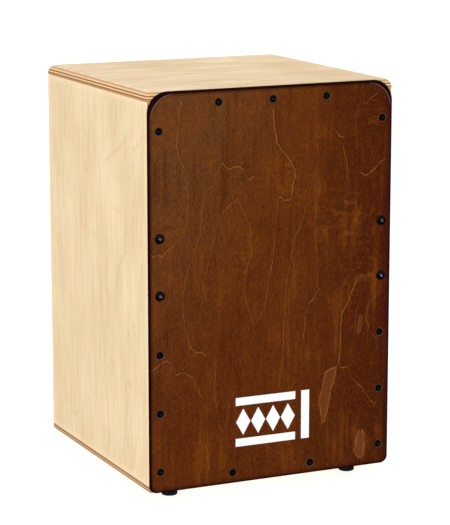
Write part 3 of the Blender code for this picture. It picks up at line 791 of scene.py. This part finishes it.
def make_front_plate(material, wall):
    outer = plate_outline(0.0, TOP_CORNER_RADIUS, BOTTOM_CORNER_RADIUS, 0.0)
    inner = plate_outline(RIM_WIDTH, TOP_CORNER_INNER, BOTTOM_CORNER_INNER, 0.0)
    steps = 9
    back = PLATE_HIGH.y
    small = 0.3 * MM
    eased = plate_outline(small, TOP_CORNER_RADIUS - small, BOTTOM_CORNER_RADIUS - small, back)
    outlines = [eased, [Vector((p.x, back - small, p.z)) for p in outer]]
    for step in range(steps + 1):
        angle = math.pi / 2 * step / steps
        share = 1 - math.cos(angle)
        depth = PLATE_FRONT + RIM_DEPTH * (1 - math.sin(angle))
        ring = [first.lerp(second, share) for first, second in zip(outer, inner)]
        outlines.append([Vector((p.x, depth, p.z)) for p in ring])
    shape = bmesh.new()
    skin(shape, outlines)
    plate = new_object("striking_plate", mesh_from(shape, "striking_plate"), material)
    cutters = []
    for name in frame["nodes"]:
        if name.startswith(("plate_screw", "corner_screw")):
            rows = [(0, 2.0), (5.0, 2.0), (5.0, 0.0), (4.2, -0.5), (1.8, -2.9), (1.8, -5.0),
                    (0, -5.0)]
        elif name.startswith("domed_screw"):
            rows = [(0, 2.0), (2.1, 2.0), (2.1, -5.0), (0, -5.0)]
        else:
            continue
        mesh = lathe(name + "_hole", [(r * MM, h * MM) for r, h in rows], sides=40)
        cutters.append(new_object(name + "_hole", mesh, wall, screw_place(name, PLATE_FRONT)))
    cut(plate, *cutters)
    weight_normals(plate)
    finish_piece(plate, "drum_body", "stained_plywood", "front_plate")


def screw_place(node, height):
    """A matrix on a front screw's axis at a depth, with +Z out of the plate."""
    low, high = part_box(node)
    centre = ((low.x + high.x) / 2, height, (low.z + high.z) / 2)
    return Matrix.Translation(centre) @ TO_FRONT


def make_emblem(material):
    """A plain printed ornament: a row of lozenges between two bars, and one upright bar."""
    low, high, left, right = 42.0, 98.0, -45.0, 29.0
    bar, gap, lozenges = 9.0, 4.0, 4
    width = (right - left) / lozenges
    polygons = [[(left, low), (right, low), (right, low + bar), (left, low + bar)],
                [(left, high - bar), (right, high - bar), (right, high), (left, high)],
                [(36.5, low), (46.5, low), (46.5, high), (36.5, high)]]
    middle, reach = (low + high) / 2, (high - low) / 2 - bar - gap
    for n in range(lozenges):
        x = left + (n + 0.5) * width
        polygons.append([(x + width / 2 - 0.5, middle), (x, middle + reach),
                         (x - width / 2 + 0.5, middle), (x, middle - reach)])
    curve = bpy.data.curves.new("emblem", "CURVE")
    curve.dimensions = "2D"
    curve.fill_mode = "BOTH"
    curve.extrude = 0.05 * MM
    for polygon in polygons:
        spline = curve.splines.new("POLY")
        spline.points.add(len(polygon) - 1)
        for point, (x, z) in zip(spline.points, polygon):
            point.co = (x * MM, z * MM, 0, 1)
        spline.use_cyclic_u = True
    place = Matrix.Translation((0, PLATE_FRONT - curve.extrude + BEHIND, PLATE_LOW.z))
    outline = new_object("emblem_outline", curve, None, place @ TO_FRONT)
    bpy.context.view_layer.update()
    evaluated = outline.evaluated_get(bpy.context.evaluated_depsgraph_get())
    mesh = bpy.data.meshes.new_from_object(evaluated)
    mesh.transform(outline.matrix_world)
    bpy.data.objects.remove(outline, do_unlink=True)
    shape = bmesh.new()
    shape.from_mesh(mesh)
    bmesh.ops.remove_doubles(shape, verts=shape.verts, dist=1e-7)
    emblem = new_object("printed_emblem", mesh_from(shape, "printed_emblem"), material)
    finish_piece(emblem, "drum_body", "stained_plywood")


# ---------- screws


def recess_cutters(radius, depth, width, walls):
    """Two tapered wings that cut a cross recess into a head whose top is at height 0."""
    wings = []
    for turn in range(2):
        shape = bmesh.new()
        bmesh.ops.create_cube(shape, size=2.0)
        for vert in shape.verts:
            deep = vert.co.z < 0
            vert.co.x *= radius * (0.40 if deep else 1.0)
            vert.co.y *= width / 2 * (0.5 if deep else 1.0)
            vert.co.z = -depth if deep else 1 * MM
        mesh = mesh_from(shape, "recess")
        mesh.transform(Matrix.Rotation(turn * math.pi / 2, 4, "Z"))
        wings.append(new_object(f"recess_{turn}", mesh, walls))
    return wings


def thread_rows(radius, top, bottom, pitch):
    """Rows of a threaded shank with a point, from its top down."""
    point = 3 * radius
    count = max(2, round((top - bottom - point) / pitch * 5))
    rows = [(radius, top - (top - bottom - point) * n / count) for n in range(count + 1)]
    return rows + [(radius * 0.55, bottom + point * 0.4), (0, bottom)]


def countersunk_screw(name, head, shank, length, material, walls):
    """A flush head with a cross recess, its top at height 0."""
    edge = 0.25 * MM
    rows = [(0, 0), (head - 3 * edge, 0), (head - edge, -0.05 * MM), (head - 0.2 * edge, -edge),
            (head, -2 * edge), (head - 0.2 * edge, -2.5 * edge),
            (shank, -2.5 * edge - (head - shank))]
    top = rows[-1][1] - 0.8 * MM
    pitch = 1.5 * MM
    rows += thread_rows(shank, top, -length, pitch)
    mesh = lathe(name, rows, 36, thread=(top, -length + 3 * shank, pitch, 0.35 * MM))
    return recessed(name, mesh, head * 0.62, 1.7 * MM, 1.25 * MM, material, walls)


def domed_screw(name, head, height, shank, length, material, walls):
    """A domed head with a cross recess; its underside is at height 0."""
    steps = 8
    rim = 0.45 * MM
    rows = [(head * math.sin(math.pi / 2 * n / steps),
             rim + (height - rim) * math.cos(math.pi / 2 * n / steps)) for n in range(steps + 1)]
    rows += [(head, 0.2 * MM), (head - 0.25 * MM, 0), (shank + 0.1 * MM, 0)]
    top = -1.0 * MM
    pitch = 1.8 * MM
    rows += thread_rows(shank, top, -length, pitch)
    mesh = lathe(name, rows, 36, thread=(top, -length + 3 * shank, pitch, 0.35 * MM))
    mesh.transform(Matrix.Translation((0, 0, -height)))
    screw = recessed(name, mesh, head * 0.5, height * 0.8, 1.35 * MM, material, walls)
    screw.transform(Matrix.Translation((0, 0, height)))
    return screw


def recessed(name, mesh, radius, depth, width, material, walls):
    """Cuts the cross recess into a head at height 0; walls is the material inside it."""
    screw = new_object(name, mesh, material)
    cut(screw, *recess_cutters(radius, depth, width, walls))
    result = smooth(screw.data, math.radians(32))
    bpy.data.objects.remove(screw, do_unlink=True)
    return result


def place_screws():
    """Every screw in its CAD place, each turned to its own angle."""
    turns = random.Random(7)
    black = metal("black_lacquered_steel", srgb(5, 3, 3), srgb(16, 14, 13), 0.28, 0.42, 0.0, 4.0,
                  Specular_IOR_Level=0.08)
    # recess walls: pale steel, partly driver wear and partly a painted glint; the small screws get a darker copy
    # as painted shade in their recesses
    glinting_worn_steel = metal("driver_worn_steel", srgb(216, 214, 210), srgb(150, 146, 140), 0.36, 0.5, 1.0,
                 5.0)
    shaded_recess_steel = metal("dull_steel", srgb(104, 100, 94), srgb(60, 56, 52), 0.36, 0.5, 1.0, 5.0)
    zinc = metal("zinc_plate", srgb(205, 205, 200), srgb(150, 150, 142), 0.25, 0.42, 1.0, 4.0)
    small = countersunk_screw("small_screw", 4.0 * MM, 1.5 * MM, 19 * MM, black, shaded_recess_steel)
    crossbar = countersunk_screw("crossbar_fixing", 4.0 * MM, 1.5 * MM, 22 * MM, zinc, glinting_worn_steel)
    proud = PLATE_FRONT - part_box("domed_screw_left_upper")[0].y
    domed = domed_screw("domed_screw", 5.5 * MM, proud, 1.8 * MM, 32 * MM, black, glinting_worn_steel)
    clamp = domed_screw("clamp_fixing", 3.0 * MM, 1.8 * MM, 1.4 * MM, 12 * MM, zinc, glinting_worn_steel)
    foot = domed_screw("foot_fixing", 3.5 * MM, 2.0 * MM, 1.5 * MM, 14 * MM, zinc, glinting_worn_steel)
    bodies = frame["record"]["behaviour"]["bodies"]
    body_of = {node: body for body, nodes in bodies.items() for node in nodes}
    for node in sorted(frame["nodes"]):
        low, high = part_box(node)
        spin = Matrix.Rotation(turns.uniform(0, math.pi / 2), 4, "Z")
        if node.startswith(("plate_screw", "corner_screw")):
            mesh, place, slot = small, screw_place(node, PLATE_FRONT), "black_steel"
        elif node.startswith("domed_screw"):
            mesh, place, slot = domed, screw_place(node, PLATE_FRONT), "black_steel"
        elif node.startswith("crossbar_screw"):
            mesh, place, slot = crossbar, screw_place(node, low.y), "zinc_steel"
        elif node.startswith("clamp_screw"):
            mesh, place, slot = clamp, screw_place(node, low.y + 1.8 * MM), "zinc_steel"
        elif node.startswith("foot_screw"):
            centre = ((low.x + high.x) / 2, (low.y + high.y) / 2, low.z + 2.0 * MM)
            place = Matrix.Translation(centre) @ Matrix.Rotation(math.pi, 4, "X")
            mesh, slot = foot, "zinc_steel"
        else:
            continue
        obj = new_object(node + "_detailed", mesh, None, place @ spin)
        finish_piece(obj, body_of[node], slot, node)


# ---------- feet


def make_feet():
    """Moulded rubber feet: tapered, with a rounded sole, a screw recess and a flange line."""
    material = rubber()
    edge = 1.5 * MM
    sole = 9.0 * MM
    wall = (2.0, 11.7), (9.0, 11.7), (9.4, 11.5), (9.5, 11.1), (9.45, 9.6), (9.3, 9.4), (9.2, 9.2)
    recess = (5.6, 0.0), (5.1, 0.15), (4.8, 0.6), (4.7, 4.7), (4.4, 5.0), (2.0, 5.0)
    rows = [(radius * MM, height * MM) for radius, height in wall]
    for step in range(7):
        angle = math.pi / 2 * step / 6
        rows.append((sole - edge + edge * math.cos(angle), edge * (1 - math.sin(angle))))
    rows += [(radius * MM, height * MM) for radius, height in recess]
    for node in sorted(frame["nodes"]):
        if node.startswith("foot_") and not node.startswith("foot_screw"):
            low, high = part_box(node)
            centre = ((low.x + high.x) / 2, (low.y + high.y) / 2, low.z)
            shape = bmesh.new()
            shape.from_mesh(lathe(node, rows, sides=64))
            inner = [vert for vert in shape.verts if vert.co.xy.length < 2.05 * MM]
            bottom = sorted((v for v in inner if v.co.z < 6 * MM), key=angle_of)
            top = sorted((v for v in inner if v.co.z > 6 * MM), key=angle_of)
            for n, vert in enumerate(bottom):
                after = (n + 1) % len(bottom)
                shape.faces.new((vert, bottom[after], top[after], top[n]))
            mesh = smooth(mesh_from(shape, node), math.radians(40))
            obj = new_object(node + "_moulded", mesh, material, Matrix.Translation(centre))
            finish_piece(obj, "drum_body", "black_rubber", node)


def angle_of(vert):
    return round(math.atan2(vert.co.y, vert.co.x), 5)


# ---------- snares


def coil_points(start, end, radius, pitch, per_turn):
    """A helix about the line from start to end."""
    along = Vector(end) - Vector(start)
    turn = along.to_track_quat("Z", "Y").to_matrix()
    count = int(along.length / pitch * per_turn)
    points = []
    for n in range(count + 1):
        angle = 2 * math.pi * n / per_turn
        local = (radius * math.cos(angle), radius * math.sin(angle), along.length * n / count)
        points.append(Vector(start) + turn @ Vector(local))
    return np.array(points)


def add_tube(shape, points, radius, sides=5):
    """Sweeps a small polygon along points, with closed ends."""
    ahead = np.gradient(points, axis=0)
    ahead /= np.linalg.norm(ahead, axis=1)[:, None]
    side = np.cross(ahead, [0.0, 1.0, 0.0])
    side /= np.linalg.norm(side, axis=1)[:, None]
    other = np.cross(ahead, side)
    angles = [2 * math.pi * n / sides for n in range(sides)]
    skin(shape, [[centre + radius * (math.cos(angle) * first + math.sin(angle) * second)
                  for angle in angles] for centre, first, second in zip(points, side, other)])


def make_snares():
    """Each set: a strip with screw holes, and ten coiled wires soldered to it, near the plate."""
    steel = metal("drawn_snare_wire", srgb(214, 214, 212), srgb(160, 158, 150), 0.18, 0.32, 1.0,
                  5.0)
    zinc = metal("stamped_clamp", srgb(200, 200, 196), srgb(150, 150, 145), 0.28, 0.45, 1.0, 3.0)
    strands, pitch, coil, wire = 10, 4.0 * MM, 0.62 * MM, 0.2 * MM
    bead_size = Vector((1.1, 0.62, 1.7)) * MM
    for joint in frame["joints"]:
        if joint["type"] != "hinge":
            continue
        side = joint["child"].replace("snares_", "")
        across = -Vector(joint["axis"])
        up = across.cross(Vector((0, 1, 0)))
        axes = Matrix((across, Vector((0, 1, 0)), up)).transposed()
        pivot = Matrix.Translation(joint["pos_m"]) @ axes.to_4x4()
        strip = eased_box("strip", Vector((-21, -0.5, -7)) * MM, Vector((21, 0.5, 7)) * MM,
                          0.2 * MM)
        piece = new_object(f"snare_set_{side}", strip, steel)
        holes = []
        for place in (-17, 17):
            rows = [(0, 3 * MM), (1.9 * MM, 3 * MM), (1.9 * MM, -3 * MM), (0, -3 * MM)]
            matrix = Matrix.Translation((place * MM, 0, -2 * MM)) @ TO_FRONT
            holes.append(new_object("hole", lathe("hole", rows, 24), None, matrix))
        cut(piece, *holes)
        shape = bmesh.new()
        shape.from_mesh(piece.data)
        reach = (PLATE_HIGH.y - joint["pos_m"][1]) + 1.1 * MM
        for strand in range(strands):
            x = (strand - (strands - 1) / 2) * pitch
            start = Vector((x, -0.25 * MM, 4.6 * MM))
            end = Vector((x, reach, 142 * MM))
            add_tube(shape, coil_points(start, end, coil, 1.25 * MM, 9), wire)
            bead = bmesh.ops.create_uvsphere(shape, u_segments=12, v_segments=8, radius=1.0)
            for vert in bead["verts"]:
                vert.co = vert.co * bead_size + start + Vector((0, 0, 0.6 * MM))
        mesh = mesh_from(shape, f"snare_set_{side}")
        mesh.transform(pivot)
        piece.data = smooth(mesh, math.radians(50))
        mesh.materials.append(steel)
        finish_piece(piece, f"snares_{side}", "snare_steel", f"snare_wires_{side}")

        clamp = f"snare_clamp_{side}"
        low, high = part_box(clamp)
        plate = new_object(clamp + "_stamped", clamp_mesh(), zinc,
                           Matrix.Translation((low + high) / 2) @ axes.to_4x4())
        finish_piece(plate, "drum_body", "zinc_steel", clamp)


def clamp_mesh():
    """A stamped clamp plate with rounded corners and eased edges."""
    half_width, half_height, thick, corner = 21 * MM, 5 * MM, 0.5 * MM, 2.5 * MM
    outline = rounded_rectangle(half_width, half_height, [corner] * 4, 6)
    ease = 0.15 * MM
    rings = []
    for depth, inset in ((thick, ease), (thick - ease, 0.0), (ease - thick, 0.0), (-thick, ease)):
        shrink_x, shrink_z = 1 - inset / half_width, 1 - inset / half_height
        rings.append([Vector((x * shrink_x, depth, z * shrink_z)) for x, z in outline])
    shape = bmesh.new()
    skin(shape, rings)
    return mesh_from(shape, "clamp")


# ---------- battens


def finish_battens():
    """The CAD battens, crossbar and end blocks keep their shapes and get planed softwood."""
    materials = {axis: softwood(f"softwood_along_{axis}", axis, seed)
                 for axis, seed in (("x", 5.0), ("z", 65.0))}
    for node, obj in frame["nodes"].items():
        if "batten" in node or node == "snare_crossbar" or node.startswith("crossbar_end_block"):
            low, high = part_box(node)
            grain = "x" if high.x - low.x > high.z - low.z else "z"
            obj.data.materials.clear()
            obj.data.materials.append(materials[grain])


# ---------- stage


def add_light(name, place, target, size, energy):
    light = bpy.data.lights.new(name, "AREA")
    light.shape = "SQUARE"
    light.size = size
    light.energy = energy
    obj = new_object(name, light)
    obj.location = place
    obj.rotation_euler = (Vector(target) - Vector(place)).to_track_quat("-Z", "Y").to_euler()


def make_stage():
    """A plain pale floor, a soft pale surround and broad studio lights."""
    shape = bmesh.new()
    bmesh.ops.create_circle(shape, cap_ends=True, segments=96, radius=14.0)
    g = Graph("pale_floor", Specular_IOR_Level=0.0, Emission_Color=(1, 1, 1, 1),
              Emission_Strength=FLOOR_GLOW)
    g.colour = (0.34, 0.34, 0.34, 1)
    g.paint(g.noise(g.x, 0.002, g.y, 0.002), (0.36, 0.36, 0.36, 1))
    floor = new_object("floor", mesh_from(shape, "floor"), g.done(0.9))
    floor.visible_glossy = False

    world = bpy.data.worlds.new("studio")
    world.use_nodes = True
    tree = world.node_tree
    background = tree.nodes["Background"]
    background.inputs["Color"].default_value = (1, 1, 1, 1)
    place = tree.nodes.new("ShaderNodeTexCoord")
    split = tree.nodes.new("ShaderNodeSeparateXYZ")
    tree.links.new(place.outputs["Generated"], split.inputs[0])
    strength = tree.nodes.new("ShaderNodeMapRange")
    tree.links.new(split.outputs["Z"], strength.inputs["Value"])
    for socket, value in (("From Min", -0.05), ("From Max", 0.25), ("To Min", SURROUND_BELOW),
                          ("To Max", SURROUND_ABOVE)):
        strength.inputs[socket].default_value = value
    path = tree.nodes.new("ShaderNodeLightPath")
    choose = tree.nodes.new("ShaderNodeMix")
    tree.links.new(path.outputs["Is Camera Ray"], choose.inputs["Factor"])
    tree.links.new(strength.outputs[0], choose.inputs["A"])
    choose.inputs["B"].default_value = 1.0
    tree.links.new(choose.outputs["Result"], background.inputs["Strength"])

    for name, settings in LIGHTS.items():
        add_light(name, *settings)
    scene = bpy.context.scene
    scene.world = world
    scene.view_settings.view_transform = "Standard"


def make_camera():
    camera = bpy.data.cameras.new("camera")
    camera.lens = CAMERA_LENS
    camera.clip_end = 60
    obj = new_object("camera", camera)
    ahead = Vector((math.sin(CAMERA_TURN) * math.cos(CAMERA_DIP),
                    math.cos(CAMERA_TURN) * math.cos(CAMERA_DIP), -math.sin(CAMERA_DIP)))
    obj.location = CAMERA_AIM - CAMERA_DISTANCE * ahead
    obj.rotation_euler = (math.pi / 2 - CAMERA_DIP, 0, -CAMERA_TURN)
    bpy.context.scene.camera = obj


make_camera()
make_panels()
make_front_plate(stained_plate(), countersink())
make_emblem(print_white())
place_screws()
make_feet()
make_snares()
finish_battens()
make_stage()
